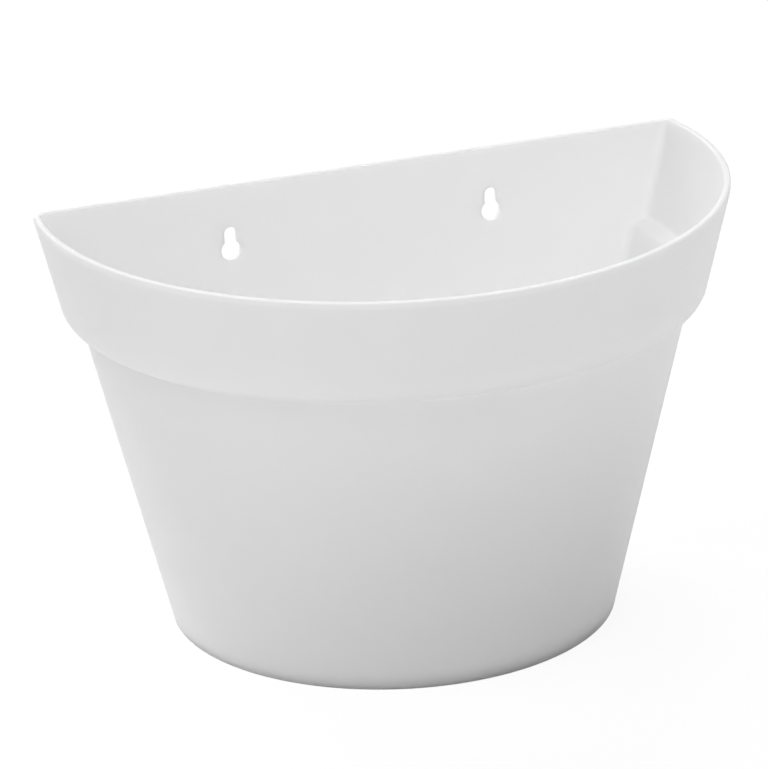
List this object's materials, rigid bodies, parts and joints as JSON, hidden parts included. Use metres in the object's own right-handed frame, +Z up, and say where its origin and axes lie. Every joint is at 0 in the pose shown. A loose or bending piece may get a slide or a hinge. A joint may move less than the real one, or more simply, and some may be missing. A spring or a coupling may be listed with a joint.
{
  "type": "wall planter",
  "caption": "Half-round plastic wall planter: flat back with two keyholes, tapered turned side under a tall stepped collar, open top and drain holes closed by plugs.",
  "frame": {"origin": "on the wall plane, midway between the centres of the two screw seats (the round tops of the keyholes)", "axes": "+Z up, +X to the right seen from the front, -Y the front; the wall is the plane y = 0 and lies towards +Y"},
  "size_m": [0.3984, 0.2362, 0.258],
  "materials": {
    "pot": "satin moulded polypropylene, plain off-white grey",
    "plug": "soft matt light grey"
  },
  "bodies": {
    "pot": {"pot_shell": "pot"},
    "plug_left": {"drain_plug_left": "plug"},
    "plug_right": {"drain_plug_right": "plug"}
  },
  "joints": [
    {"name": "plug_left_pull", "type": "slide", "parent": "pot", "child": "plug_left", "axis": [0, 0, -1], "range_m": [0, 0.01]},
    {"name": "plug_right_pull", "type": "slide", "parent": "pot", "child": "plug_right", "axis": [0, 0, -1], "range_m": [0, 0.01]}
  ]
}
